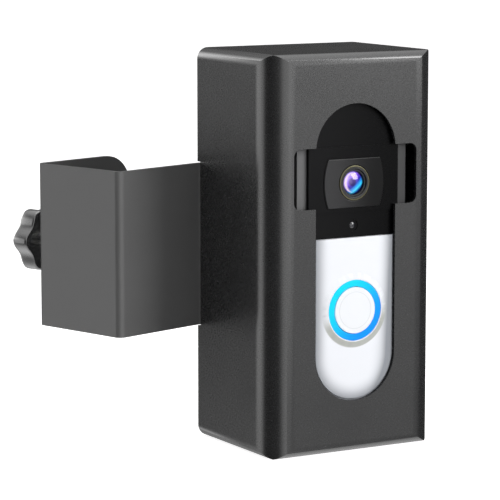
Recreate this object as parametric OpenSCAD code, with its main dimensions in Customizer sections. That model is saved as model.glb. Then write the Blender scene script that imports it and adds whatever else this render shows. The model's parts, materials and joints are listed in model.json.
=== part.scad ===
// Battery video doorbell held in a sheet-metal guard box that clamps onto the edge of a door.
// The doorbell faces -Y. +Z is up. The door's edge goes into the channel on the -X side.

/* [Guard box] */
// Width across the box
box_w = 83.6; // [76:0.1:110]
// Height of the box
box_h = 170; // [158:0.5:220]
// Depth from the front face to the rear rim
box_d = 62; // [54:0.5:90]
// Thickness of the box's sheet
box_t = 1.5; // [1:0.1:2]
// Radius of the two upright front edges
front_r = 12.5; // [6:0.5:16]
// Radius of the top, bottom and corner edges
edge_r = 5; // [3:0.5:8]
// Width of the window in the front
window_w = 39.4; // [30:0.2:44]
// Height of the window
window_h = 126.4; // [100:0.2:127]
// Height of the window's middle above the box's middle
window_z = 0.6; // [-2:0.1:2]
// Width across the two side notches of the window
notch_w = 60.6; // [50:0.2:62]
// Height of the side notches
notch_h = 25.5; // [18:0.5:28]
// Radius of the notches' corners
notch_r = 3.2; // [1:0.1:6]

/* [Door bracket] */
// Thickness of the bracket's sheet
sheet_t = 2; // [1.5:0.1:3]
// Inside radius of its folds
fold_r = 1; // [0.5:0.1:3]
// Height of the arm and the channel
arm_h = 70.6; // [50:0.2:100]
// Length of the arm, from its bend to the channel's outer corner
arm_len = 47.4; // [38:0.2:70]
// Angle that the arm is turned from the box's back
turn_angle = 17; // [5:1:25]
// Outside depth of the channel that takes the door's edge
channel_d = 50.8; // [40:0.2:70]
// Length of the jaw behind the door
jaw_len = 54; // [42:0.5:80]
// Radius of the jaw's free corners
jaw_corner_r = 14; // [4:1:20]
// Thickness of the pads that face the door
pad_t = 1; // [0.5:0.1:2]
// Margin left around the pads
pad_margin = 4; // [2:0.5:8]

/* [Clamp] */
// Radius of the clamp screw's thread
screw_r = 3; // [2.5:0.5:4]
// Distance from the channel's outer corner to the screw
screw_at = 24; // [20:0.5:30]
// Height of the screw above the arm's middle
screw_z = -2; // [-6:0.5:6]
// Gap between the jaw's rear face and the knob at rest
knob_gap = 18; // [16:0.5:30]
// Outer radius of the star knob
knob_r = 14.8; // [11:0.2:18]
// Thickness of the knob
knob_t = 9; // [7:0.5:14]
// Number of lobes on the knob
knob_lobes = 6; // [5:1:8]
// Radius of one lobe
lobe_r = 4.7; // [4:0.1:4.8]
// Depth of the hollows between the lobes
lobe_rise = 2.5; // [1.5:0.1:2.8]
// Width across the flats of the weld nut
nut_af = 11; // [10:0.5:14]
// Thickness of the weld nut
nut_t = 5; // [4:0.5:6]
// Radius of the pressure foot
foot_r = 11; // [8:0.5:14]
// Thickness of the pressure foot
foot_t = 3.4; // [3:0.1:5]
// Thickness of the rubber on the foot
foot_pad_t = 1.4; // [1:0.1:3]

/* [Doorbell] */
// Width of the doorbell
bell_w = 53.8; // [50:0.2:58]
// Height of the doorbell
bell_h = 131; // [130:0.5:134]
// Height of its middle above the box's middle
bell_z = 1; // [-2:0.5:2]
// Depth from the faceplate to the rear cover
bell_d = 28; // [27:0.5:32]
// Radius of its corners
bell_r = 9; // [7:0.5:12]
// Wall thickness of the side frame
frame_t = 1.8; // [1.5:0.1:2.2]
// Width of the rails that the side frame shows at the front
rail_w = 4.6; // [4:0.1:5]
// Width of the frame's front lip at its top and bottom
end_lip = 2.2; // [2:0.1:3]
// Height of the camera block's lower edge
block_low = 17.9; // [16:0.1:19]
// Height of the camera block's upper edge
block_high = 45.6; // [43:0.1:47]
// Height of the lens axis
lens_z = 30.2; // [28:0.1:32]
// Width of the camera window across its bowed sides
cam_w = 29.4; // [24:0.2:31]
// Height of the camera window
cam_h = 20.7; // [18:0.1:22]
// How far the camera window's sides bow out
cam_bow = 2; // [1:0.1:3]
// Outer radius of the lens ring
lens_ring_r = 7.4; // [6.5:0.1:8]
// Radius of the front lens
lens_r = 5.1; // [4:0.1:5.5]
// Height of the light sensor
sensor_z = 12.1; // [10:0.1:14]
// Radius of the light sensor's lens
sensor_r = 1.35; // [1:0.05:1.8]

/* [Faceplate and button] */
// Height of the faceplate's upper edge
plate_top = 7; // [5:0.1:8]
// Gap between the faceplate's raised tongue and the window
tongue_gap = 0.7; // [0.6:0.1:2]
// Height of the button's middle
button_z = -23.9; // [-26:0.1:-22]
// Radius of the collar around the light ring, at its foot
collar_r = 16.2; // [14.5:0.1:17]
// Height of the collar, which slopes from its foot to the light ring
collar_rise = 0.8; // [0.4:0.1:0.9]
// Outer radius of the light ring
ring_r = 12.9; // [12:0.1:13.5]
// Width of the light ring
ring_w = 2.7; // [2:0.1:3.2]
// Travel of the button
button_travel = 0.6; // [0.3:0.1:0.8]

/* [Hidden] */
$fn = 64;

// Middle of the side notches, which sit around the camera block
notch_lift = 1.2;
notch_z = (block_low + block_high) / 2 + notch_lift;

// Clearances
slip = 0.4;          // box over bracket, doorbell behind the box's front
loose = 0.3;         // parts that must not touch
fit = 0.2;           // covers in their frame
hole = 0.1;          // pin, screw or lens in its hole, radial
run = 0.05;          // screw in its nut, radial
eps = 0.01;          // overshoot of a cut

// Bracket
outer_r = fold_r + sheet_t;
plate_y = box_d - sheet_t;
plate_w = box_w - 2 * box_t - 2 * slip;
plate_h = box_h - 2 * box_t - 2 * slip;
arm_start = box_w / 2 + 0.5;
arm_flat = arm_len - outer_r;
edge_flat = channel_d - 2 * outer_r;
jaw_flat = jaw_len - outer_r;
flange_h = 120;
flange_d = 16;
tab_w = 30;
tab_d = 10;
arm_slot_gap = 0.6;

// Row origin: middle of the arm pad's face, where the door's outer face bears
arm_heading = 180 + turn_angle;
bend_x = -arm_start - fold_r * sin(turn_angle);
bend_y = plate_y - fold_r * (1 - cos(turn_angle));
seat_out = sheet_t + pad_t;
seat_x = bend_x + arm_flat / 2 * cos(arm_heading) + seat_out * sin(arm_heading);
seat_y = bend_y + arm_flat / 2 * sin(arm_heading) - seat_out * cos(arm_heading);

// Security screws, M4 through the box's right wall
sec_r = 2;
sec_head_r = 3.8;
sec_head_t = 2.2;
sec_z = 45;
sec_y = plate_y - 8;
sec_nut_t = 3.2;
sec_len = 10;
sec_nut_af = 7;
sec_socket_d = 2.9;
sec_socket_depth = 1.4;
sec_pin_r = 0.5;
sec_hole = sec_r + 0.15;

// Clamp
knob_hub_r = knob_r - lobe_rise;
pad_corner_r = 2;
foot_y = -sheet_t - slip;
socket_r = screw_r - 0.5;
socket_d = foot_t - 1;
knob_cap_t = 1.5;

// Doorbell depth levels, from the front
face_y = box_t + slip;
strip_y = face_y + 0.6;
rail_y = face_y + 1.5;
lip_back = rail_y + 1.6;
under_y = rail_y + 0.3;
gasket_t = 0.8;
flange_y = lip_back + gasket_t;
flange_back = flange_y + 1.5;
skin = 1.5;
back_y = face_y + bell_d;
cover_t = 1.9;
frame_back = back_y - cover_t;
bell_top = bell_z + bell_h / 2;
bell_low = bell_z - bell_h / 2;
riser_w = bell_w - 2 * rail_w - 2 * fit;
riser_h = bell_h - 2 * end_lip - 2 * fit;
riser_r = bell_r - rail_w;
inner_w = bell_w - 2 * frame_t;
inner_h = bell_h - 2 * frame_t;
inner_r = bell_r - frame_t;

// Case screws and their bosses
boss_x = 19;
boss_top = bell_top - 9;
boss_low = bell_low + 6.5;
boss_r = 3;
case_r = 1.1;
case_head_r = 2.1;
case_head_t = 1.3;
case_socket_af = 1.5;
case_socket_d = 0.8;
case_len = 10;

// Camera
cam_front = face_y - 0.7;
cam_back = face_y + 1.5;
ring_front = cam_front - 0.25;
ring_in = lens_r + 0.8;
lens_out = 0.5;
cam_board_y = 16.2;
cam_board_t = 1.2;
cam_board_w = 30;
cam_board_low = 7;
cam_board_high = 46;
post_x = 12.5;
post_in = 2.8;
post_r = 1.8;
ring_seat_r = lens_ring_r - 0.4;
sensor_well_r = sensor_r + 1.2;
holder_w = 17;
holder_t = 3.2;
chip_w = 7;
led_x = 11;
led_dz = 6.5;
led_r = 1.2;
ir_y = 6.2;

// Button, light ring and their board
tongue_w = window_w - 2 * tongue_gap;
tongue_low = window_z - window_h / 2 + tongue_gap;
tongue_y = box_t - 0.5;
collar_y = tongue_y - collar_rise;
ring_y = collar_y + 0.1;
ring_in_r = ring_r - ring_w;
ring_hole = ring_r + 0.15;
// Radius of the collar at its top
collar_top_r = ring_hole + 0.5;
ring_flange_r = ring_r + 1.7;
ring_back = under_y + skin + 1;
button_r = ring_in_r - loose;
button_y = collar_y - 0.1;
button_t = 2;
board_y = ring_back + 1;
board_t = 1.2;
board_w = 38;
board_post = 16;
board_post_r = 1.5;
led_circle = 11.5;
led_count = 8;
led_t = 0.7;
switch_w = 6;
switch_t = 2.1;
plunger_r = 1.5;
plunger_y = board_y - switch_t - button_travel - 0.25;
leg_x = 6.6;
leg_w = 3;
leg_t = 1.2;
hook = 0.8;

// Main board, battery and what is at the back
main_y = 20;
main_t = 1.4;
main_w = 42;
main_low = -1;
main_high = 50;
main_post_x = 18;
main_post_in = 3;
main_post_r = 2;
rim_d = 1.6;
rim_t = 2;
battery_w = 38;
battery_y = 11.6;
battery_low = -54;
battery_high = -3;
battery_r = 3;
port_x = -11;
port_z = 7;
port_w = 8;
port_h = 3.2;
port_r = 1;
port_wall = 0.4;
port_depth = 5;
setup_x = 11;
setup_z = 7;
setup_r = 2.5;
terminal_x = 8;
terminal_z = -50;
terminal_r = 1.75;
terminal_head_r = 3.5;
terminal_head_t = 1.6;
terminal_slot = 1;
terminal_cut = 0.7;

// Speaker, its vents in the frame, and the microphone
speaker_w = 24;
speaker_h = 7.4;
speaker_y = 10.5;
speaker_back = 23.5;
speaker_lip = 1.9;
vent_side = 2;
vent_step = 4;
vent_w = 1.2;
mic_x = -8;
mic_w = 4;
mic_h = 2.3;
mic_t = 1.2;
mic_hole_r = 0.6;

// Screw under the faceplate and the tab it holds
plate_screw_r = 1.2;
plate_head_r = 2.2;
plate_head_t = 1.4;
plate_screw_y = rail_y + 6.6;
tab_half = 8;
tab_drop = 1.5;
tab_back = rail_y + 10;
plate_screw_len = 5;
plate_socket_d = 1.9;
plate_socket_depth = 0.8;

// Wall plate and the carrier behind it
wall_y = back_y + loose;
wall_t = 2.2;
wall_w = 50;
wall_h = 124;
wall_screw_x = 15;
wall_screw_z = 46;
wall_screw_r = 2;
wall_head_r = 3.8;
wall_head_t = 1.2;
wall_tip = 4;
wall_r = 8;
wire_w = 24;
wire_h = 18;
wire_r = 2;
reach_w = 34;
reach_h = 14;
lug_w = 8;
lug_h = 1.6;
lug_r = 0.5;
lug_z = 32;
carrier_y = wall_y + wall_t;
carrier_t = 1.5;
carrier_r = 1;
carrier_w = 48;
carrier_h = 112;
carrier_slot_w = 20;
carrier_slot_h = 60;
foot_w = 13;
rivet_x = 31.5;
rivet_z = 40;
rivet_r = 2;
rivet_head_r = 3.6;
rivet_head_t = 1.4;
rivet_sink_r = 3;
rivet_sink = 1;

// --- Shared shapes ---

// Moves a piece from the box's frame to the row's frame
module row() { translate([-seat_x, -seat_y, 0]) children(); }

// Flat outline with round corners, centred
module rounded(w, h, r) {
    square([w, h - 2 * r], center = true);
    square([w - 2 * r, h], center = true);
    for (sx = [-1, 1], sy = [-1, 1])
        translate([sx * (w / 2 - r), sy * (h / 2 - r)]) circle(r);
}

// Upright outline with half-round ends, centred
module stadium(w, h) {
    square([w, h - w], center = true);
    for (s = [-1, 1]) translate([0, s * (h - w) / 2]) circle(w / 2);
}

// Upright prism from y0 to y1 over an outline drawn in X and Z
module along_y(y0, y1) {
    translate([0, y1, 0]) rotate([90, 0, 0]) linear_extrude(y1 - y0) children();
}

// Round slab that faces the front
module slab(w, h, r, y0, y1, z = 0) {
    along_y(y0, y1) translate([0, z]) rounded(w, h, r);
}

// Cylinder along +Y from y0 to y1 at x, z
module rod(r, y0, y1, x = 0, z = 0, r2 = undef) {
    translate([x, y0, z]) rotate([-90, 0, 0])
        cylinder(h = y1 - y0, r1 = r, r2 = is_undef(r2) ? r : r2);
}

// Ring along +Y
module tube(r_out, r_in, y0, y1, x = 0, z = 0) {
    difference() {
        rod(r_out, y0, y1, x, z);
        rod(r_in, y0 - 1, y1 + 1, x, z);
    }
}

// Block between two corners
module span(a, b) { translate(a) cube(b - a); }

// Copies at the four corners of a rectangle
module four(x, z_low, z_high) {
    for (sx = [-x, x], z = [z_low, z_high]) translate([sx, 0, z]) children();
}

// Hexagonal prism along +Y, given across its flats
module hex(af, y0, y1) {
    translate([0, y0, 0]) rotate([-90, 0, 0]) cylinder(h = y1 - y0, d = af / cos(30), $fn = 6);
}

// Box outline rounded in all three views
module soft_block(w, d, h, rf, re) {
    intersection() {
        linear_extrude(h, center = true) {
            translate([-w / 2, rf]) square([w, d - rf]);
            translate([-w / 2 + rf, 0]) square([w - 2 * rf, d]);
            for (s = [-1, 1]) translate([s * (w / 2 - rf), rf]) circle(rf);
        }
        along_y(-1, d + 1) rounded(w, h, re);
        rotate([90, 0, 90]) linear_extrude(w + 2, center = true) {
            translate([re, -h / 2]) square([d - re, h]);
            translate([0, -h / 2 + re]) square([d, h - 2 * re]);
            for (s = [-1, 1]) translate([re, s * (h / 2 - re)]) circle(re);
        }
    }
}

// --- Folded sheet: each piece starts at the local origin and runs along +X.
// --- The sheet lies between y = -t and y = 0.

module flat(len, h, t) { translate([-eps, -t, -h / 2]) cube([len + 2 * eps, t, h]); }

module fold_left(a, h, t, r) {
    translate([0, r, 0]) rotate([0, 0, -90])
        rotate_extrude(angle = a) translate([r, -h / 2]) square([t, h]);
}

module fold_right(a, h, t, r) {
    translate([0, -t - r, 0]) rotate([0, 0, 90 - a])
        rotate_extrude(angle = a) translate([r, -h / 2]) square([t, h]);
}

module after_left(a, r) {
    translate([r * sin(a), r * (1 - cos(a)), 0]) rotate([0, 0, a]) children();
}

module after_right(a, t, r) {
    translate([(r + t) * sin(a), -(r + t) * (1 - cos(a)), 0]) rotate([0, 0, -a]) children();
}

// Frames of the arm, the door-edge plate and the jaw
module at_arm_start() { translate([-arm_start, plate_y, 0]) rotate([0, 0, 180]) children(); }
module at_arm() { at_arm_start() after_left(turn_angle, fold_r) children(); }
module at_edge() {
    at_arm() translate([arm_flat, 0, 0]) after_right(90, sheet_t, fold_r) children();
}
module at_jaw() {
    at_edge() translate([edge_flat, 0, 0]) after_right(90, sheet_t, fold_r) children();
}
// Frame of the clamp screw: +Y points out of the jaw's rear face
module at_screw() { at_jaw() translate([screw_at - outer_r, 0, screw_z]) children(); }

// --- Guard box ---

module guard_box() {
    color("dimgray") row() difference() {
        soft_block(box_w, box_d, box_h, front_r, edge_r);
        translate([0, box_t, 0]) soft_block(
            box_w - 2 * box_t, box_d, box_h - 2 * box_t, front_r - box_t, edge_r - box_t
        );
        along_y(-1, box_t + 1) translate([0, window_z]) stadium(window_w, window_h);
        slab(notch_w, notch_h, notch_r, -1, box_t + 1, notch_z);
        arm_slot();
        for (s = [-1, 1]) translate([box_w / 2 - box_t - 1, sec_y, s * sec_z])
            rotate([0, 90, 0]) cylinder(h = box_t + 2, r = sec_hole);
    }
}

// Slot in the left wall's rear edge that the arm passes through
module arm_slot() {
    half = arm_h / 2 + arm_slot_gap;
    span([-box_w / 2 - 1, plate_y - arm_slot_gap, -half], [-box_w / 2 + box_t + 1, box_d + 1, half]);
}

// --- Door bracket: back plate, arm, door-edge plate and jaw from one folded sheet ---

module door_bracket() {
    color("gray") row() difference() {
        union() {
            back_plate();
            at_arm_start() translate([-outer_r, 0, 0]) flat(outer_r, arm_h, sheet_t);
            at_arm_start() fold_left(turn_angle, arm_h, sheet_t, fold_r);
            at_arm() {
                flat(arm_flat, arm_h, sheet_t);
                translate([arm_flat, 0, 0]) fold_right(90, arm_h, sheet_t, fold_r);
            }
            at_edge() {
                flat(edge_flat, arm_h, sheet_t);
                translate([edge_flat, 0, 0]) fold_right(90, arm_h, sheet_t, fold_r);
            }
            at_jaw() jaw();
        }
        at_screw() rod(screw_r + loose, -sheet_t - 1, 1);
        four(rivet_x, -rivet_z, rivet_z) rivet_hole();
        for (s = [-1, 1]) translate([plate_w / 2 - sheet_t - 1, sec_y, s * sec_z])
            rotate([0, 90, 0]) cylinder(h = sheet_t + 2, r = sec_hole);
    }
}

module back_plate() {
    right_end = plate_w / 2 - outer_r;
    span([-plate_w / 2, plate_y, -plate_h / 2 + outer_r], [right_end, box_d, plate_h / 2 - outer_r]);
    translate([plate_w / 2 - sheet_t, plate_y - flange_d + fold_r, 0]) rotate([0, 0, 90])
        flat(flange_d - 2 * fold_r, flange_h, sheet_t);
    translate([right_end + fold_r, plate_y - fold_r, 0]) rotate([0, 0, 90])
        fold_left(90, flange_h, sheet_t, fold_r);
    for (m = [0, 1]) mirror([0, 0, m]) translate([0, plate_y, plate_h / 2 - outer_r])
        rotate([0, -90, 180]) {
            fold_left(90, tab_w, sheet_t, fold_r);
            after_left(90, fold_r) flat(tab_d, tab_w, sheet_t);
        }
}

module jaw() {
    r = jaw_corner_r;
    along_y(-sheet_t, 0) {
        translate([-eps, -arm_h / 2]) square([jaw_flat - r + eps, arm_h]);
        translate([-eps, -arm_h / 2 + r]) square([jaw_flat + eps, arm_h - 2 * r]);
        for (s = [-1, 1]) translate([jaw_flat - r, s * (arm_h / 2 - r)]) circle(r);
    }
}

module rivet_hole() {
    rod(rivet_r + hole, plate_y - 1, box_d + 1);
    rod(rivet_r + hole, box_d - rivet_sink, box_d + eps, r2 = rivet_sink_r + hole);
}

// --- Standoff between the bracket's back plate and the doorbell's wall plate ---

module bell_carrier() {
    r = carrier_r;
    t = carrier_t;
    leg = plate_y - carrier_y - 2 * (t + r);
    face = carrier_w - 2 * (t + r);
    foot_flat = foot_w - r;
    color("silver") row() difference() {
        union() {
            for (m = [0, 1]) mirror([m, 0, 0]) {
                translate([-carrier_w / 2 - foot_w + t, plate_y, 0]) {
                    flat(foot_flat - t, carrier_h, t);
                    translate([foot_flat - t, 0, 0]) fold_right(90, carrier_h, t, r);
                }
                translate([-carrier_w / 2, carrier_y + t + r, -carrier_h / 2])
                    cube([t, leg, carrier_h]);
                translate([-carrier_w / 2, carrier_y + t + r, 0]) rotate([0, 0, -90])
                    translate([0, t, 0]) fold_left(90, carrier_h, t, r);
            }
            translate([-face / 2, carrier_y, -carrier_h / 2]) cube([face, t, carrier_h]);
        }
        four(wall_screw_x, -wall_screw_z, wall_screw_z)
            rod(wall_screw_r + hole, carrier_y - 1, carrier_y + t + 1);
        four(rivet_x, -rivet_z, rivet_z) rod(rivet_r + hole, plate_y - t - 1, plate_y + 1);
        along_y(carrier_y - 1, carrier_y + t + 1) stadium(carrier_slot_w, carrier_slot_h);
    }
}

module carrier_rivets() {
    color("silver") row() four(rivet_x, -rivet_z, rivet_z) {
        rod(rivet_r, plate_y - carrier_t - rivet_head_t, box_d);
        rod(rivet_head_r, plate_y - carrier_t - rivet_head_t, plate_y - carrier_t);
        rod(rivet_r, box_d - rivet_sink, box_d, r2 = rivet_sink_r);
    }
}

// --- Screws and nuts that lock the box to the bracket ---

module security_screws() {
    color("black") row() for (s = [-1, 1])
        translate([box_w / 2, sec_y, s * sec_z]) rotate([0, 90, 0]) difference() {
            union() {
                translate([0, 0, -sec_len]) cylinder(h = sec_len + eps, r = sec_r);
                cylinder(h = sec_head_t, r1 = sec_head_r, r2 = sec_head_r - 1.2);
            }
            translate([0, 0, sec_head_t - sec_socket_depth]) difference() {
                cylinder(h = sec_socket_depth + 1, d = sec_socket_d, $fn = 6);
                translate([0, 0, -1]) cylinder(h = sec_socket_depth + 3, r = sec_pin_r);
            }
        }
}

module security_nuts() {
    color("silver") row() for (s = [-1, 1])
        translate([plate_w / 2 - sheet_t - sec_nut_t, sec_y, s * sec_z])
            rotate([0, 90, 0]) difference() {
                cylinder(h = sec_nut_t, d = sec_nut_af / cos(30), $fn = 6);
                translate([0, 0, -1]) cylinder(h = sec_nut_t + 2, r = sec_r + run);
            }
}

// --- Pads and clamp ---

// Pad on the door's side of a flat piece of the bracket
module pad(len) {
    w = len - 2 * pad_margin;
    h = arm_h - 2 * pad_margin;
    slab(w, h, pad_corner_r, -sheet_t - pad_t, -sheet_t);
}

module arm_pad() {
    color("black") row() at_arm() translate([arm_flat / 2, 0, 0])
        pad(arm_flat);
}

module edge_pad() {
    color("black") row() at_edge() translate([edge_flat / 2, 0, 0])
        pad(edge_flat);
}

module clamp_nut() {
    color("silver") row() at_screw() difference() {
        hex(nut_af, 0, nut_t);
        rod(screw_r + run, -1, nut_t + 1);
    }
}

module clamp_screw() {
    color("silver") row() at_screw() {
        rod(screw_r, foot_y + loose, knob_gap + knob_t - knob_cap_t);
        rod(socket_r, foot_y - socket_d + loose, foot_y + loose + eps);
    }
}

module star_knob() {
    color("black") row() at_screw() difference() {
        union() {
            rod(knob_hub_r, knob_gap, knob_gap + knob_t);
            for (i = [0 : knob_lobes - 1]) rotate([0, i * 360 / knob_lobes, 0])
                rod(lobe_r, knob_gap, knob_gap + knob_t, knob_r - lobe_r);
        }
        rod(screw_r + run, knob_gap - 1, knob_gap + knob_t - knob_cap_t + run);
    }
}

module clamp_foot() {
    color("silver") row() at_screw() difference() {
        rod(foot_r, foot_y - foot_t, foot_y);
        rod(socket_r + hole, foot_y - socket_d, foot_y + 1);
    }
}

module foot_pad() {
    color("black") row() at_screw()
        rod(foot_r - 0.5, foot_y - foot_t - foot_pad_t, foot_y - foot_t);
}

// --- Doorbell: wall plate ---

module wall_plate() {
    color("black") row() {
        difference() {
            slab(wall_w, wall_h, wall_r, wall_y, wall_y + wall_t);
            slab(wire_w, wire_h, wire_r, wall_y - 1, wall_y + wall_t + 1, terminal_z);
            slab(reach_w, reach_h, wire_r, wall_y - 1, wall_y + wall_t + 1, port_z);
            four(wall_screw_x, -wall_screw_z, wall_screw_z) {
                rod(wall_screw_r + fit, wall_y - 1, wall_y + wall_t + 1);
                rod(wall_head_r + 2 * fit, wall_y - 1, wall_y + wall_head_t + fit);
            }
        }
        for (s = [-1, 1])
            slab(lug_w, lug_h, lug_r, frame_back + loose, wall_y + eps, s * lug_z);
    }
}

module wall_plate_screws() {
    color("silver") row() four(wall_screw_x, -wall_screw_z, wall_screw_z) {
        rod(wall_head_r, wall_y + fit, wall_y + wall_head_t + fit);
        rod(wall_screw_r, wall_y + wall_head_t + fit - eps, carrier_y + carrier_t + wall_tip);
    }
}

// --- Doorbell: frame and covers ---

module side_frame() {
    color([0.36, 0.36, 0.37]) row() difference() {
        slab(bell_w, bell_h, bell_r, rail_y, frame_back, bell_z);
        slab(bell_w - 2 * rail_w, bell_h - 2 * end_lip, riser_r, rail_y - 1, lip_back + 1, bell_z);
        slab(inner_w, inner_h, inner_r, lip_back, frame_back + 1, bell_z);
        for (i = [-vent_side : vent_side]) span(
            [i * vent_step - vent_w / 2, speaker_y + fit, bell_top - frame_t - 1],
            [i * vent_step + vent_w / 2, speaker_back - fit, bell_top + 1]
        );
        translate([0, plate_screw_y, bell_low - 1]) cylinder(h = frame_t + 2, r = plate_screw_r + run);
        translate([mic_x, board_y + board_t / 2, bell_low - 1])
            cylinder(h = frame_t + 2, r = mic_hole_r);
    }
}

// Places of the cover's bosses and posts
module at_bosses() { four(boss_x, boss_low, boss_top) children(); }
module at_cam_posts() { four(post_x, cam_board_low + post_in, cam_board_high - post_in) children(); }
module at_board_posts() { four(board_post, button_z - board_post, button_z + board_post) children(); }
module at_leds() { four(led_x, lens_z - led_dz, lens_z + led_dz) children(); }

// Slab that fills the frame's inside but for a gap g
module lid_slab(g, y0, y1) {
    slab(inner_w - 2 * g, inner_h - 2 * g, inner_r - g, y0, y1, bell_z);
}

module front_cover() {
    strip_low = plate_top + fit;
    color([0.08, 0.08, 0.08]) row() difference() {
        union() {
            intersection() {
                slab(riser_w, riser_h, riser_r, strip_y, flange_y + eps, bell_z);
                span([-bell_w, 0, strip_low], [bell_w, box_d, bell_top]);
            }
            slab(riser_w, riser_h, riser_r, under_y, flange_y + eps, bell_z);
            span([-riser_w / 2, face_y, block_low], [riser_w / 2, strip_y + eps, block_high]);
            lid_slab(fit, flange_y, flange_back);
            at_bosses() rod(boss_r, flange_back - eps, frame_back - fit);
            at_cam_posts() rod(post_r, strip_y + 1, cam_board_y);
            at_board_posts() rod(board_post_r, under_y + 1, board_y);
        }
        difference() {
            union() {
                slab(
                    riser_w - 2 * skin, riser_h - 2 * skin, riser_r - skin,
                    under_y + skin, flange_back + 1, bell_z
                );
                span(
                    [-riser_w / 2 + skin, strip_y + skin, strip_low + skin],
                    [riser_w / 2 - skin, flange_y, bell_top - end_lip - fit - riser_r]
                );
            }
            at_cam_posts() rod(post_r, 0, cam_board_y);
            at_board_posts() rod(board_post_r, 0, board_y);
            at_bosses() rod(boss_r, 0, frame_back);
        }
        cam_outline(face_y - 1, cam_back, fit / 2);
        rod(ring_seat_r, 0, flange_back + 1, z = lens_z);
        at_leds() rod(led_r + fit, 0, flange_y);
        rod(sensor_r + hole, 0, flange_y, z = sensor_z);
        rod(sensor_well_r, 0, strip_y + loose, z = sensor_z);
        rod(ring_r + fit, 0, flange_y, z = button_z);
        at_bosses() rod(case_r + run, frame_back - case_len, frame_back + 1);
    }
}

module cover_gasket() {
    color("black") row() difference() {
        lid_slab(fit, lip_back, flange_y);
        slab(riser_w + fit, riser_h + fit, riser_r + fit / 2, lip_back - 1, flange_y + 1, bell_z);
    }
}

module rear_cover() {
    color([0.1, 0.1, 0.1]) row() difference() {
        union() {
            slab(bell_w, bell_h, bell_r, frame_back, back_y, bell_z);
            difference() {
                lid_slab(fit, frame_back - rim_d, frame_back + eps);
                lid_slab(rim_t, frame_back - rim_d - 1, frame_back);
                at_bosses() rod(boss_r + fit, frame_back - rim_d - 1, frame_back);
            }
            four(main_post_x, main_low + main_post_in, main_high - main_post_in)
                rod(main_post_r, main_y + main_t, frame_back + eps);
        }
        at_bosses() {
            rod(case_r + fit, frame_back - 2, back_y + 1);
            rod(case_head_r + fit, back_y - case_head_t - fit, back_y + 1);
        }
        for (s = [-1, 1]) {
            rod(terminal_r + run, frame_back - 2, back_y + 1, s * terminal_x, terminal_z);
            slab(
                lug_w + 2 * loose, lug_h + 2 * loose, lug_r + hole,
                frame_back - 2, back_y + 1, s * lug_z
            );
        }
        translate([port_x, 0, port_z])
            slab(port_w + 2 * loose, port_h + 2 * loose, port_r, frame_back - 2, back_y + 1);
        rod(setup_r + loose, frame_back - 2, back_y + 1, setup_x, setup_z);
    }
}

module case_screws() {
    color("silver") row() at_bosses() difference() {
        union() {
            rod(case_r, back_y - case_len, back_y - case_head_t);
            rod(case_head_r, back_y - case_head_t - fit + eps, back_y - fit);
        }
        rotate([0, 30, 0]) hex(case_socket_af, back_y - fit - case_socket_d, back_y + 1);
    }
}

module terminal_screws() {
    slot = terminal_slot / 2;
    color("goldenrod") row() for (s = [-1, 1])
        translate([s * terminal_x, 0, terminal_z]) difference() {
            union() {
                rod(terminal_r, frame_back + hole, back_y + eps);
                rod(terminal_head_r, back_y, back_y + terminal_head_t);
            }
            span(
                [-terminal_head_r, back_y + terminal_head_t - terminal_cut, -slot],
                [terminal_head_r, back_y + terminal_head_t + 1, slot]
            );
        }
}

// --- Doorbell: camera ---

// Window outline with bowed sides, grown by g
module cam_outline(y0, y1, g = 0) {
    half = cam_h / 2;
    arc_r = (half * half + cam_bow * cam_bow) / (2 * cam_bow);
    along_y(y0, y1) translate([0, lens_z]) intersection() {
        square([cam_w + 2 * g, cam_h + 2 * g], center = true);
        translate([arc_r - cam_w / 2, 0]) circle(arc_r + g, $fn = 128);
        translate([cam_w / 2 - arc_r, 0]) circle(arc_r + g, $fn = 128);
    }
}

module camera_window() {
    color([0.16, 0.16, 0.17]) row() difference() {
        cam_outline(cam_front, cam_back);
        rod(lens_ring_r + 0.1, 0, cam_back + 1, z = lens_z);
    }
}

module lens_ring() {
    color([0.25, 0.25, 0.22]) row() tube(lens_ring_r, ring_in, ring_front, cam_back, z = lens_z);
}

module lens_barrel() {
    base = cam_board_y - holder_t;
    color("black") row() difference() {
        union() {
            rod(ring_in - 0.1, cam_front + 0.5, base + eps, z = lens_z);
            slab(holder_w, holder_w, 1.5, base, cam_board_y, lens_z);
        }
        rod(lens_r + 0.05, 0, cam_back + 2.2, z = lens_z);
        rod(lens_r - 0.8, 0, 8, z = lens_z);
        rod(lens_r - 1.05, 7, 9.5, z = lens_z);
        rod(3, 9, cam_board_y - 2, z = lens_z);
        slab(chip_w + 0.6, chip_w + 0.6, 0.5, cam_board_y - 1.4, cam_board_y + 1, lens_z);
        rod(3.2, cam_board_y - 2.5, cam_board_y, z = lens_z);
    }
}

module front_lens() {
    dome = 1.6;
    ball = (lens_r * lens_r + dome * dome) / (2 * dome);
    base = cam_back - lens_out;
    color([0.2, 0.2, 0.5]) row() {
        rod(lens_r, base - eps, cam_back + 2.2, z = lens_z);
        intersection() {
            translate([0, base - dome + ball, lens_z]) sphere(ball, $fn = 96);
            rod(lens_r, base - dome - 1, base, z = lens_z);
        }
    }
}

module rear_lens() {
    color([0.3, 0.4, 0.6]) row() rod(lens_r - 1.1, 8.02, 9.48, z = lens_z);
}

module image_sensor() {
    color([0.1, 0.2, 0.2]) row() slab(chip_w, chip_w, 0.4, cam_board_y - 1, cam_board_y, lens_z);
}

module camera_board() {
    mid = (cam_board_low + cam_board_high) / 2;
    color("darkgreen") row() slab(
        cam_board_w, cam_board_high - cam_board_low, 2, cam_board_y, cam_board_y + cam_board_t, mid
    );
}

module ir_board() {
    color("darkgreen") row() difference() {
        slab(28, 17, 2, ir_y, ir_y + 1, lens_z);
        rod(ring_in + 0.2, ir_y - 1, ir_y + 2, z = lens_z);
    }
}

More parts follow.
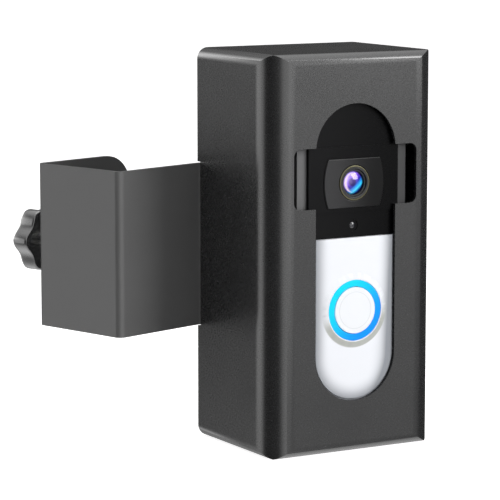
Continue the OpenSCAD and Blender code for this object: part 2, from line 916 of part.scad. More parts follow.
module ir_leds() {
    color("lavender") row() four(led_x, lens_z - led_dz, lens_z + led_dz) rod(led_r, cam_back + 0.5, ir_y);
}

module sensor_lens() {
    ball = 1.6;
    color([0.3, 0.3, 0.32]) row() {
        rod(sensor_r, strip_y + 0.6, cam_board_y - 1.2, z = sensor_z);
        intersection() {
            translate([0, strip_y + ball, sensor_z]) sphere(ball);
            rod(sensor_r, 0, strip_y + 0.6 + eps, z = sensor_z);
        }
    }
}

module light_sensor() {
    color("black") row() slab(3, 2.4, 0.2, cam_board_y - 0.9, cam_board_y, sensor_z);
}

// --- Doorbell: faceplate, button and light ring ---

module faceplate() {
    color("white") row() difference() {
        union() {
            intersection() {
                slab(bell_w, bell_h, bell_r, face_y, rail_y, bell_z);
                span([-bell_w, 0, bell_low - 1], [bell_w, box_d, plate_top]);
            }
            along_y(tongue_y, face_y + eps) {
                translate([-tongue_w / 2, tongue_low + tongue_w / 2])
                    square([tongue_w, plate_top - tongue_low - tongue_w / 2]);
                translate([0, tongue_low + tongue_w / 2]) circle(tongue_w / 2);
            }
            rod(collar_top_r, collar_y, tongue_y + eps, z = button_z, r2 = collar_r);
            span([-tab_half, face_y, bell_low - tab_drop], [tab_half, tab_back, bell_low - fit]);
            span([-tab_half, face_y, bell_low - tab_drop], [tab_half, rail_y - eps, bell_low + 1]);
        }
        rod(ring_hole, 0, rail_y + 1, z = button_z);
        translate([0, plate_screw_y, bell_low - tab_drop - 1])
            cylinder(h = tab_drop + 2, r = plate_screw_r + hole);
    }
}

module faceplate_screw() {
    color("silver") row() translate([0, plate_screw_y, bell_low - tab_drop]) difference() {
        union() {
            translate([0, 0, -plate_head_t]) cylinder(h = plate_head_t, r = plate_head_r);
            translate([0, 0, -0.1]) cylinder(h = plate_screw_len + 0.1, r = plate_screw_r);
        }
        translate([0, 0, -plate_head_t - 1])
            cylinder(h = plate_socket_depth + 1, d = plate_socket_d, $fn = 6);
    }
}

module light_ring() {
    color([0, 0.75, 1]) row() {
        tube(ring_r, ring_in_r, ring_y, ring_back, z = button_z);
        tube(ring_flange_r, ring_in_r, under_y + skin, ring_back, z = button_z);
    }
}

module ring_board() {
    color("darkgreen") row() difference() {
        slab(board_w, board_w, 3, board_y, board_y + board_t, button_z);
        for (s = [-1, 1]) translate([s * (leg_x + leg_t / 2), 0, 0])
            slab(leg_t + hook + 0.8, leg_w + 0.8, 0.3, board_y - 1, board_y + board_t + 1, button_z);
    }
}

module ring_leds() {
    color("aliceblue") row() for (i = [0 : led_count - 1]) translate([0, 0, button_z])
        rotate([0, (i + 0.5) * 360 / led_count, 0])
            span([led_circle - 1, board_y - led_t, -1], [led_circle + 1, board_y, 1]);
}

module tact_switch() {
    color("gray") row() difference() {
        slab(switch_w, switch_w, 0.5, board_y - switch_t, board_y, button_z);
        rod(plunger_r + 0.2, 0, board_y - 0.3, z = button_z);
    }
}

module switch_plunger() {
    color("black") row() rod(plunger_r, plunger_y, board_y - switch_t + 0.6, z = button_z);
}

module button_cap() {
    hook_y = board_y + board_t + 0.1;
    color("whitesmoke") row() {
        rod(button_r, button_y, button_y + button_t, z = button_z);
        rod(2.2, button_y + button_t - eps, plunger_y, z = button_z);
        for (s = [0, 1]) translate([0, 0, button_z]) mirror([s, 0, 0]) {
            span([leg_x, button_y + button_t - eps, -leg_w / 2], [leg_x + leg_t, hook_y + 1.2, leg_w / 2]);
            span([leg_x, hook_y, -leg_w / 2], [leg_x + leg_t + hook + 0.6, hook_y + 1.2, leg_w / 2]);
        }
    }
}

// --- Doorbell: electronics at the back ---

module main_board() {
    mid = (main_low + main_high) / 2;
    color("darkgreen") row()
        slab(main_w, main_high - main_low, 2, main_y, main_y + main_t, mid);
}

module board_chips() {
    color([0.12, 0.12, 0.13]) row() {
        span([-16, main_y - 1.2, 28], [-4, main_y, 40]);
        span([8, main_y - 1, 30], [16, main_y, 36]);
        span([-14, main_y - 1, 14], [-8, main_y, 20]);
    }
}

module radio_shield() {
    color("silver") row() span([-9, main_y + main_t, 26], [9, main_y + main_t + 2.2, 42]);
}

module board_connector() {
    color("ivory") row() span([-6, cam_board_y + cam_board_t, 22], [6, main_y, 26]);
}

module speaker() {
    top = bell_top - frame_t - loose;
    mouth = speaker_back - speaker_y - 2 * speaker_lip;
    color([0.2, 0.2, 0.2]) row() difference() {
        slab(speaker_w, speaker_h, 1.2, speaker_y, speaker_back, top - speaker_h / 2);
        translate([-speaker_w / 2 + speaker_lip, speaker_y + speaker_lip, top - speaker_lip])
            cube([speaker_w - 2 * speaker_lip, mouth, speaker_lip + 1]);
    }
}

module microphone() {
    low = [mic_x - mic_w / 2, board_y - mic_t, button_z - board_w / 2 + 0.5];
    color("silver") row() span(low, low + [mic_w, mic_t, mic_h]);
}

module battery_pack() {
    mid = (battery_low + battery_high) / 2;
    color([0.2, 0.25, 0.3]) row() slab(
        battery_w, battery_high - battery_low, battery_r, battery_y, frame_back - fit, mid
    );
}

module charge_port() {
    color("silver") row() translate([port_x, 0, port_z]) difference() {
        slab(port_w, port_h, port_r - fit, main_y + main_t, back_y - 2 * fit);
        slab(
            port_w - 2 * port_wall, port_h - 2 * port_wall, port_r - fit - port_wall + hole,
            back_y - 2 * fit - port_depth, back_y + 1
        );
    }
}

module setup_switch() {
    color("gray") row() translate([setup_x, 0, setup_z]) difference() {
        slab(5, 5, 0.5, main_y + main_t, main_y + main_t + 2);
        rod(1.2, main_y + main_t + 0.4, main_y + main_t + 3);
    }
}

module setup_button() {
    color("darkorange") row() {
        rod(setup_r, frame_back - 0.6, back_y - 0.2, setup_x, setup_z);
        rod(setup_r + 0.9, frame_back - 1.6, frame_back - 0.3, setup_x, setup_z);
        rod(1, main_y + main_t + 1.2, frame_back - 1.6 + eps, setup_x, setup_z);
    }
}

guard_box();
door_bracket();
bell_carrier();
carrier_rivets();
security_screws();
security_nuts();
arm_pad();
edge_pad();
clamp_nut();
clamp_screw();
star_knob();
clamp_foot();
foot_pad();
wall_plate();
wall_plate_screws();
side_frame();
front_cover();
cover_gasket();
rear_cover();
case_screws();
terminal_screws();
camera_window();
lens_ring();
lens_barrel();
front_lens();
rear_lens();
image_sensor();
camera_board();
ir_board();
ir_leds();
sensor_lens();
light_sensor();
faceplate();
faceplate_screw();
light_ring();
ring_board();
ring_leds();
tact_switch();
switch_plunger();
button_cap();
main_board();
board_chips();
radio_shield();
board_connector();
speaker();
microphone();
battery_pack();
charge_port();
setup_button();
setup_switch();
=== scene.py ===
"""Finishes a video doorbell that sits in a steel guard box clamped to the edge of a door."""

import json
import math

import bmesh
import bpy
from mathutils import Matrix, Vector


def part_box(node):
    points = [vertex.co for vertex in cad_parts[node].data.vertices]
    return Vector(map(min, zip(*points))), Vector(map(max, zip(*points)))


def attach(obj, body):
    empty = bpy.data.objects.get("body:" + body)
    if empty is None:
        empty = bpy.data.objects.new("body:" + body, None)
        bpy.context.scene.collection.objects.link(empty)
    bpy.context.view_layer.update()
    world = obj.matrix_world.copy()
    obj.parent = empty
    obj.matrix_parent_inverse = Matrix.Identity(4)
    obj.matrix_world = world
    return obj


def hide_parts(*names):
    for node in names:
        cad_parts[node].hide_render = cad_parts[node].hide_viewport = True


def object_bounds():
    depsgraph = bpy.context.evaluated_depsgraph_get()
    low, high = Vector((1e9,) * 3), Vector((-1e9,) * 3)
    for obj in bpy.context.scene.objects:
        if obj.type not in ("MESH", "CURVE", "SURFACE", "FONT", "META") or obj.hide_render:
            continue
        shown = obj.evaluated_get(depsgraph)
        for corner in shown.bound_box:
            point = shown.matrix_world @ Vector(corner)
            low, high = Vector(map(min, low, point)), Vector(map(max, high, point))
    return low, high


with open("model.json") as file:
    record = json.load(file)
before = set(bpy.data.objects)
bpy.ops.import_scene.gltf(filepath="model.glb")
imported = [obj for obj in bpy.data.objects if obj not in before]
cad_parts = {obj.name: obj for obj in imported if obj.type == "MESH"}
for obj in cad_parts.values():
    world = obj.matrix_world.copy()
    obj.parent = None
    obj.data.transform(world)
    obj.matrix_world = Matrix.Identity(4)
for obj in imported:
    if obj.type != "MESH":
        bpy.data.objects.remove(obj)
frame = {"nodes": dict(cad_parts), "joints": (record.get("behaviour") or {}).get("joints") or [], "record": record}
cad_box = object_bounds()
MM = 0.001
UP = Vector((0, 0, 1))
BACK = Vector((0, 1, 0))
mounts = {m["name"]: m for m in frame["record"]["mounts"]}
joints = {j["name"]: j for j in frame["joints"]}
body_by_node = {n: b for b, ns in frame["record"]["behaviour"]["bodies"].items() for n in ns}
slot_by_node = {s["node"]: s["material_slot"] for s in frame["record"]["subparts"]}


# ---------------------------------------------------------------- shader maths

class Value:
    """A socket of a finish that takes Python's operators."""

    def __init__(self, finish, out):
        self.finish, self.out = finish, out

    def _math(self, operation, *terms):
        return self.finish.node("ShaderNodeMath", {"operation": operation}, *terms)

    def __add__(self, other):
        return self._math("ADD", self, other)

    def __sub__(self, other):
        return self._math("SUBTRACT", self, other)

    def __rsub__(self, other):
        return self._math("SUBTRACT", other, self)

    def __mul__(self, other):
        return self._math("MULTIPLY", self, other)

    def __truediv__(self, other):
        return self._math("DIVIDE", self, other)

    def __abs__(self):
        return self._math("ABSOLUTE", self)

    def __lt__(self, other):
        return self._math("LESS_THAN", self, other)

    def __gt__(self, other):
        return self._math("GREATER_THAN", self, other)

    __radd__, __rmul__ = __add__, __mul__

    def sine(self):
        return self._math("SINE", self)

    def root(self):
        return self._math("SQRT", self)

    def smooth(self, low, high):
        """0 below low, 1 above high, with soft ends."""
        return self.finish.node(
            "ShaderNodeMapRange", {"interpolation_type": "SMOOTHSTEP"}, self, low, high, 0.0, 1.0
        )


class Finish:
    """A surface finish, or the world's light. Its nodes are written as expressions."""

    def __init__(self, name, owner=None):
        self.material = owner or bpy.data.materials.new(name)
        self.material.use_nodes = True
        self.tree = self.material.node_tree
        self.surface = self.tree.nodes.get("Principled BSDF")

    def node(self, kind, settings=None, *values, output=0, **named):
        """Makes a node: its settings first, then its sockets in order or by name."""
        made = self.tree.nodes.new(kind)
        for key, value in (settings or {}).items():
            if key == "stops":
                self._stops(made.color_ramp, value)
            else:
                setattr(made, key, value)
        for key, value in list(enumerate(values)) + list(named.items()):
            self.feed(made.inputs[key.replace("_", " ") if isinstance(key, str) else key], value)
        return Value(self, made.outputs[output])

    def feed(self, socket, value):
        if isinstance(value, Value):
            self.tree.links.new(value.out, socket)
        elif value is not None:
            socket.default_value = value

    @staticmethod
    def _stops(ramp, stops):
        while len(ramp.elements) < len(stops):
            ramp.elements.new(1.0)
        for element, (place, colour) in zip(ramp.elements, stops):
            element.position, element.color = place, colour

    def set(self, **named):
        """Feeds the surface's sockets by name."""
        for key, value in named.items():
            self.feed(self.surface.inputs[key.replace("_", " ")], value)

    def place(self):
        """The point of the surface, in the shared frame."""
        return self.node("ShaderNodeTexCoord", output="Object")

    def xyz(self, centre=(0, 0, 0)):
        """The point's three coordinates in millimetres from a centre in metres."""
        moved = self.node(
            "ShaderNodeVectorMath", {"operation": "SUBTRACT"}, self.place(), tuple(centre)
        )
        parts = self.tree.nodes.new("ShaderNodeSeparateXYZ")
        self.tree.links.new(moved.out, parts.inputs[0])
        return tuple(Value(self, parts.outputs[i]) / MM for i in range(3))

    def noise(self, size_mm, detail=2.0, roughness=0.5, stretch=(1, 1, 1)):
        """Noise whose grains are about size_mm across."""
        place = self.node("ShaderNodeMapping", None, self.place(), Scale=tuple(stretch))
        return self.node(
            "ShaderNodeTexNoise", None, Vector=place, Scale=1 / (size_mm * MM),
            Detail=detail, Roughness=roughness,
        )

    def cells(self, size_mm, output="Distance"):
        """Cells about size_mm across: the distance to a cell's middle, or a colour for each."""
        return self.node(
            "ShaderNodeTexVoronoi", None, Vector=self.place(), Scale=1 / (size_mm * MM),
            output=output,
        )

    def blend(self, low, high, factor):
        """A colour between two colours."""
        made = self.tree.nodes.new("ShaderNodeMix")
        made.data_type = "RGBA"
        self.feed(made.inputs[0], factor)
        self.feed(made.inputs[6], low)
        self.feed(made.inputs[7], high)
        return Value(self, made.outputs[2])

    def bump(self, height, depth_mm, strength=1.0):
        return self.node(
            "ShaderNodeBump", None, Strength=strength, Distance=depth_mm * MM, Height=height
        )


def tone(code):
    """A colour written as a six-figure web code."""
    parts = [int(code[i:i + 2], 16) / 255 for i in (0, 2, 4)]
    line = [p / 12.92 if p <= 0.04045 else ((p + 0.055) / 1.055) ** 2.4 for p in parts]
    return (*line, 1.0)


# ---------------------------------------------------------------- finishes

def powder_coat(name, dark, light, roughness, gloss):
    """Fine satin powder coat on steel: orange peel and a trace of rubbed dust."""
    f = Finish(name)
    peel = f.noise(0.55, 3, 0.6)
    cloud = f.noise(26, 3)
    speck = f.cells(0.35).smooth(0.05, 0.3)
    f.set(
        Base_Color=f.blend(dark, light, cloud * 0.65 + speck * 0.25),
        Roughness=roughness + (peel - 0.5) * 0.1 + (cloud - 0.5) * 0.06,
        Specular_IOR_Level=gloss,
        Normal=f.bump(peel * 0.7 + speck * 0.3, 0.012, 0.12),
    )
    return f.material


def bare_steel(name, colour, roughness, grain=(1, 1, 0.06)):
    """Zinc-plated steel with rolling lines and faint spangle."""
    f = Finish(name)
    lines = f.noise(0.25, 4, 0.6, grain)
    patch = f.cells(2.6, "Color")
    dull = f.noise(9, 3)
    low = tuple(c * 0.72 for c in colour[:3]) + (1,)
    f.set(
        Base_Color=f.blend(f.blend(low, colour, dull.smooth(0.3, 0.7)), patch, 0.05),
        Metallic=1.0,
        Roughness=roughness + (lines - 0.5) * 0.25 + (dull - 0.5) * 0.12,
        Normal=f.bump(lines, 0.02, 0.4),
    )
    return f.material


def moulded(
    name, dark, light, roughness, grain_mm=0.3, depth=0.03, coat=0.0, gloss=0.5, lean=None
):
    """Injection-moulded plastic with a spark-eroded grain. lean: a node across which painted light makes the left
    lighter.
    """
    f = Finish(name)
    grain = f.noise(grain_mm, 3, 0.65)
    flow_and_painted_light = f.noise(18, 2)
    # painted light: with lean, the colour runs lighter towards the node's left, as the light falls
    if lean:
        low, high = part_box(lean)
        half = (high.x - low.x) / 2 / MM
        flow_and_painted_light = (f.xyz((low + high) / 2)[0] * -1).smooth(-half, half) * 0.9 + flow_and_painted_light * 0.1
    f.set(
        Base_Color=f.blend(dark, light, flow_and_painted_light),
        Roughness=roughness + (grain - 0.5) * 0.14 + (flow_and_painted_light - 0.5) * 0.06,
        Specular_IOR_Level=gloss,
        Coat_Weight=coat,
        Coat_Roughness=0.12,
        Normal=f.bump(grain, depth, 0.35),
    )
    return f.material


def soft_rubber(name, colour):
    """Matt rubber with bloom and fine pores."""
    f = Finish(name)
    pores = f.cells(0.5).smooth(0.0, 0.25)
    bloom = f.noise(7, 4)
    pale = tuple(min(c * 1.9 + 0.006, 1) for c in colour[:3]) + (1,)
    f.set(
        Base_Color=f.blend(colour, pale, bloom.smooth(0.35, 0.75) * 0.6),
        Roughness=0.78 + (bloom - 0.5) * 0.2,
        Normal=f.bump(pores, 0.04, 0.4),
    )
    return f.material


def black_oxide(name):
    f = Finish(name)
    rub = f.noise(1.2, 4)
    f.set(
        Base_Color=f.blend(tone("0e0e10"), tone("2c2c30"), rub.smooth(0.45, 0.75)),
        Metallic=0.6,
        Roughness=0.42 + (rub - 0.5) * 0.3,
        Normal=f.bump(rub, 0.02, 0.3),
    )
    return f.material


def white_plate(name):
    """Satin white plastic with painted shade: greyer towards its right and lower edges, and a painted shadow on
    the collar's lower slope.
    """
    f = Finish(name)
    low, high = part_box("faceplate")
    ring_low, ring_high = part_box("light_ring")
    x, _, z = f.xyz((ring_low + ring_high) / 2)
    grain = f.noise(0.4, 3, 0.6)
    tongue_r = (high.x - low.x) / 2 / MM - 8
    collar_top_r, collar_foot_r = 13.45, 16.0
    points = [v.co for v in frame["nodes"]["faceplate"].data.vertices]
    raised = [point.z for point in points if point.y < low.y + 1.2 * MM]
    foot = ((ring_low.z + ring_high.z) / 2 - min(raised)) / MM - tongue_r
    below = (z + foot) * ((z + foot) < 0)
    reach_out = (x * x + below * below).root()
    # painted shade: the plate greys towards its right edge and round the tongue's lower rim
    right = (x - z * 0.12).smooth(8, 21) * 0.8
    edge = reach_out.smooth(tongue_r - 9, tongue_r + 0.5) * 0.95
    radius = (x * x + z * z).root()
    # painted shadow: grey on the lower half of the collar's slope
    outside_top = radius.smooth(collar_top_r - 0.15, collar_top_r + 0.15)
    slope = outside_top * (1 - radius.smooth(collar_foot_r - 0.3, collar_foot_r + 0.3))
    lower = (z * -1 / radius + x / radius * 0.12).smooth(-0.05, 0.5)
    shade = f.blend(tone("e9ebf0"), tone("8c8f95"), right * right + edge * edge)
    f.set(
        Base_Color=f.blend(shade, tone("adafa9"), slope * lower * 0.95),
        Roughness=0.36 + (grain - 0.5) * 0.08,
        Normal=f.bump(grain, 0.015, 0.25),
    )
    return f.material


def button_face(name):
    """White button whose rim is marked by a thin moulded circle, greyed with painted shade in its groove."""
    f = Finish(name)
    low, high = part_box("button_cap")
    x, _, z = f.xyz((low + high) / 2)
    radius = (x * x + z * z).root()
    groove_r, groove_width = 7.8, 0.28
    groove = 1 - abs(radius - groove_r).smooth(0.0, groove_width)
    grain = f.noise(0.4, 3, 0.6)
    # painted shade: the groove is greyed in the base colour as well as bumped
    f.set(
        Base_Color=f.blend(tone("eaecf0"), tone("d2d5da"), groove * 0.7),
        Roughness=0.34 + (grain - 0.5) * 0.08,
        Normal=f.bump(0.5 - groove * 0.5 + grain * 0.05, 0.12, 0.6),
    )
    return f.material


def lit_ring(name):
    """Light guide, lit from behind: cyan at its upper left, azure at its lower right."""
    f = Finish(name)
    low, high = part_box("light_ring")
    x, _, z = f.xyz((low + high) / 2)
    lean = (x - z).smooth(-15, 15)
    spots = f.noise(1.1, 2)
    colour = f.blend(tone("00e4fa"), tone("0094f4"), lean)
    f.set(
        Base_Color=f.blend(colour, tone("0050a0"), 0.55),
        Roughness=0.4 + (spots - 0.5) * 0.1,
        Specular_IOR_Level=0.2,
        Emission_Color=f.blend(colour, tone("00c0f8"), (spots - 0.4) * 0.3),
        Emission_Strength=0.42,
    )
    return f.material


def coated_lens(name, node):
    """Camera glass with painted light: its coating's violet, lilac and blue reflections, a pink-white highlight
    crescent and a dark pupil of shade painted into its colour, darker at its rim, and a faint painted glow.
    """
    f = Finish(name)
    low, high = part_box(node)
    x, _, z = f.xyz((low + high) / 2)
    radius = (x * x + z * z).root()
    # painted reflection: the coating's colours swept across the lens
    turn = (x * 0.66 - z * 0.78).smooth(-4.4, 4.6)
    coating_reflection = f.node("ShaderNodeValToRGB", {"stops": [
        (0.0, tone("a58cf0")), (0.26, tone("7a50d8")), (0.46, tone("4a2fb0")),
        (0.62, tone("1b2f9c")), (0.8, tone("2a8fe0")), (0.92, tone("35c8f4")),
        (1.0, tone("101a70")),
    ]}, turn)
    # painted shade: the dark pupil
    inner = ((x + 0.9) * (x + 0.9) + (z - 0.3) * (z - 0.3)).root()
    pupil_shade = 1 - inner.smooth(1.2, 2.2)
    # painted highlight: the pink-white crescent
    far = ((x - 1.5) * (x - 1.5) + z * z).root()
    crescent_highlight = radius.smooth(3.0, 3.3) * (1 - radius.smooth(4.1, 4.5)) * far.smooth(4.3, 5.3)
    rim = radius.smooth(4.3, 4.9)
    colour = f.blend(coating_reflection, tone("0a0a18"), pupil_shade * 0.72)
    colour = f.blend(colour, tone("ffe6f4"), crescent_highlight * 0.8)
    colour = f.blend(colour, tone("0c1034"), rim * 0.75)
    # painted glow: the lens glows with its own colours, though it is no lamp
    f.set(
        Base_Color=colour,
        Roughness=0.06 + rim * 0.1,
        Coat_Weight=0.5,
        Coat_Roughness=0.05,
        Emission_Color=colour,
        Emission_Strength=0.3,
    )
    return f.material


def ring_trim(name):
    """Satin black trim around the lens, with a thin bronze-coloured line painted as its edge highlight."""
    f = Finish(name)
    low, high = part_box("lens_ring")
    x, _, z = f.xyz((low + high) / 2)
    radius = (x * x + z * z).root()
    # painted highlight: a thin olive-bronze line, made partly metallic
    highlight_r = 7.1
    edge = 1 - abs(radius - highlight_r).smooth(0.05, 0.4)
    turned = (radius * 24).sine() * 0.5 + 0.5
    f.set(
        Base_Color=f.blend(tone("1a1a19"), tone("6e6a4c"), edge * 0.8),
        Metallic=edge * 0.6,
        Roughness=0.36 - edge * 0.1,
        Normal=f.bump(turned, 0.02, 0.4),
    )
    return f.material


def smoked(name):
    f = Finish(name)
    haze = f.noise(0.8, 3)
    f.set(
        Base_Color=f.blend(tone("1c1c20"), tone("3a3a40"), haze),
        Roughness=0.1 + haze * 0.08,
        Coat_Weight=0.6,
    )
    return f.material


def window_face(name):
    """Camera window: dark acrylic, with painted light making it a shade lighter towards its left."""
    f = Finish(name)
    low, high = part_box("camera_window")
    x, _, _ = f.xyz((low + high) / 2)
    grain = f.noise(0.3, 3)
    # painted light: the colour runs lighter towards the left, where the light falls
    f.set(
        Base_Color=f.blend(tone("363637"), tone("080809"), x.smooth(-14, 12)),
        Roughness=0.3 + (grain - 0.5) * 0.1,
        Specular_IOR_Level=0.2,
        Normal=f.bump(grain, 0.01, 0.3),
    )
    return f.material


def solder_mask(name):
    """Green circuit board with copper tracks and pads under its mask."""
    f = Finish(name)
    x, _, z = f.xyz()
    track = abs((x * 2.6 + f.noise(7, 1) * 9).sine()) > 0.93
    lane = abs((z * 2.2 + f.noise(9, 1) * 8).sine()) > 0.95
    pads = f.cells(2.2) < 0.16
    mask = f.blend(tone("0c3d22"), tone("15592f"), (track + lane) * 0.8)
    f.set(
        Base_Color=f.blend(mask, tone("d8b56a"), pads),
        Metallic=pads * 0.8,
        Roughness=0.34,
        Normal=f.bump(track + lane + pads, 0.03, 0.4),
    )
    return f.material


def package_black(name):
    f = Finish(name)
    grain = f.noise(0.12, 3)
    f.set(
        Base_Color=f.blend(tone("141416"), tone("26262a"), grain),
        Roughness=0.6 + (grain - 0.5) * 0.2,
        Normal=f.bump(grain, 0.02, 0.4),
    )
    return f.material


def clear_epoxy(name):
    f = Finish(name)
    haze = f.noise(0.6, 2)
    f.set(
        Base_Color=f.blend(tone("e4e6f4"), tone("c4c8e0"), haze),
        Roughness=0.12 + haze * 0.08,
        Coat_Weight=0.5,
    )
    return f.material


def shrink_wrap(name):
    f = Finish(name)
    pull = f.noise(3.5, 3, 0.5, (1, 1, 0.25))
    f.set(
        Base_Color=f.blend(tone("16222e"), tone("223648"), pull),
        Roughness=0.22 + pull * 0.2,
        Normal=f.bump(pull, 0.12, 0.5),
    )
    return f.material


def turned_brass(name):
    f = Finish(name)
    rub = f.noise(0.6, 4)
    f.set(
        Base_Color=f.blend(tone("a8813a"), tone("dcc07a"), rub),
        Metallic=1.0,
        Roughness=0.26 + (rub - 0.5) * 0.2,
        Normal=f.bump(rub, 0.02, 0.3),
    )
    return f.material


FINISHES = {
    "guard_coat": powder_coat("guard_coat", tone("19191a"), tone("212122"), 0.27, 1.0),
    "bracket_coat": powder_coat("bracket_coat", tone("5a5a5a"), tone("646464"), 0.3, 0.42),
    "zinc_steel": bare_steel("zinc_steel", tone("c4c5c6"), 0.34),
    "screw_steel": bare_steel("screw_steel", tone("b4b4b2"), 0.28, (1, 1, 1)),
    "black_steel": black_oxide("black_steel"),
    "door_rubber": soft_rubber("door_rubber", tone("1d1d1e")),
    "gasket_rubber": soft_rubber("gasket_rubber", tone("161617")),
    "knob_black": moulded(
        "knob_black", tone("262627"), tone("303031"), 0.24,
        grain_mm=0.5, depth=0.008, coat=0.9, gloss=1.0,
    ),
    # frame_grey and cover_black: painted light, lighter towards their left
    "frame_grey": moulded(
        "frame_grey", tone("2c2c2d"), tone("5c5c5d"), 0.4, depth=0.02, lean="side_frame"
    ),
    "cover_black": moulded(
        "cover_black", tone("020203"), tone("131314"), 0.3,
        grain_mm=0.35, depth=0.01, gloss=0.1, lean="front_cover",
    ),
    "rear_black": moulded("rear_black", tone("161617"), tone("202022"), 0.55),
    "window_black": window_face("window_black"),
    "lens_trim": ring_trim("lens_trim"),
    "lens_glass": coated_lens("lens_glass", "front_lens"),
    "circuit_board": solder_mask("circuit_board"),
    "chip_black": package_black("chip_black"),
    "led_clear": clear_epoxy("led_clear"),
    "sensor_smoke": smoked("sensor_smoke"),
    "plate_white": white_plate("plate_white"),
    "button_white": button_face("button_white"),
    "ring_light": lit_ring("ring_light"),
    "switch_grey": moulded("switch_grey", tone("6a6a6c"), tone("7c7c7e"), 0.5),
    "connector_ivory": moulded("connector_ivory", tone("dcd6c2"), tone("e6e0ce"), 0.45),
    "cell_wrap": shrink_wrap("cell_wrap"),
    "setup_orange": moulded("setup_orange", tone("d8560c"), tone("ea6a18"), 0.36),
    "terminal_brass": turned_brass("terminal_brass"),
}


# ---------------------------------------------------------------- pieces

def paint(piece, slot):
    piece.data.materials.clear()
    piece.data.materials.append(FINISHES[slot])


def seat(piece, node):
    """Puts a finished piece on the body of the CAD node that it stands for."""
    slot = slot_by_node[node]
    paint(piece, slot)
    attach(piece, body_by_node[node])
    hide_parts(node)
    return piece


def settled(piece):
    """The piece with its modifiers turned into a plain mesh."""
    made = bpy.data.meshes.new_from_object(
        piece.evaluated_get(bpy.context.evaluated_depsgraph_get())
    )
    old = piece.data
    piece.modifiers.clear()
    piece.data = made
    if old.users == 0:
        bpy.data.meshes.remove(old)
    return piece


def new_piece(name, mesh):
    piece = bpy.data.objects.new(name, mesh)
    bpy.context.scene.collection.objects.link(piece)
    return piece


def even_shading(piece):
    """Smooth shading in which flat faces stay flat."""
    normals = piece.modifiers.new("even", "WEIGHTED_NORMAL")
    normals.mode = "FACE_AREA"
    normals.weight = 80
    normals.keep_sharp = True


def merged_copy(node):
    """A copy of a CAD node's mesh as whole faces."""
    made = bmesh.new()
    made.from_mesh(frame["nodes"][node].data)
    bmesh.ops.remove_doubles(made, verts=made.verts, dist=0.002 * MM)
    bmesh.ops.dissolve_degenerate(made, edges=made.edges, dist=0.001 * MM)
    bmesh.ops.dissolve_limit(
        made, verts=made.verts, edges=made.edges, angle_limit=math.radians(0.6)
    )
    for face in made.faces:
        face.smooth = True
    mesh = bpy.data.meshes.new(node)
    made.to_mesh(mesh)
    made.free()
    return mesh


def eased(node, radius_mm, steps=3, sharp=38):
    """The CAD node's shape with its sharp edges rounded, as pressing or moulding leaves them."""
    piece = new_piece(node + "_eased", merged_copy(node))
    edge = piece.modifiers.new("edge", "BEVEL")
    edge.width = radius_mm * MM
    edge.segments = steps
    edge.limit_method = "ANGLE"
    edge.angle_limit = math.radians(sharp)
    edge.use_clamp_overlap = True
    even_shading(piece)
    return seat(settled(piece), node)


def frame_at(origin, across, up, out):
    """A matrix that takes local X, Y and Z to across, up and out."""
    turn = Matrix((across, up, out)).transposed().to_4x4()
    return Matrix.Translation(Vector(origin)) @ turn


def reach(node, direction, origin):
    """How far a CAD node reaches along a direction from an origin: lowest and highest."""
    start, way = Vector(origin), Vector(direction).normalized()
    spans = [(v.co - start).dot(way) for v in frame["nodes"][node].data.vertices]
    return min(spans), max(spans)


def lathe(name, profile, centre, axis=BACK, steps=96):
    """Turns a list of (radius, distance along the axis) in millimetres into a closed solid."""
    across = axis.orthogonal().normalized()
    up = axis.cross(across).normalized()
    made = bmesh.new()
    rings = []
    for radius, along in profile:
        if radius < 1e-6:
            rings.append([made.verts.new(Vector(centre) + axis * along * MM)])
            continue
        ring = []
        for i in range(steps):
            a = 2 * math.pi * i / steps
            side = across * math.cos(a) + up * math.sin(a)
            ring.append(made.verts.new(Vector(centre) + (side * radius + axis * along) * MM))
        rings.append(ring)
    closed = len(rings[0]) > 1 and len(rings[-1]) > 1
    return skinned(name, made, rings + (rings[:1] if closed else []), steps)


def skinned(name, made, rings, steps):
    """A smooth piece whose faces join each ring of points to the next."""
    for first, second in zip(rings, rings[1:]):
        for i in range(steps):
            j = (i + 1) % steps
            corners = [first[i % len(first)], first[j % len(first)]]
            corners += [second[j % len(second)], second[i % len(second)]]
            corners = list(dict.fromkeys(corners))
            if len(corners) > 2:
                made.faces.new(corners)
    bmesh.ops.recalc_face_normals(made, faces=made.faces)
    for face in made.faces:
        face.smooth = True
    mesh = bpy.data.meshes.new(name)
    made.to_mesh(mesh)
    made.free()
    mesh.set_sharp_from_angle(angle=math.radians(50))
    return new_piece(name, mesh)


# ---------------------------------------------------------------- geometry trees

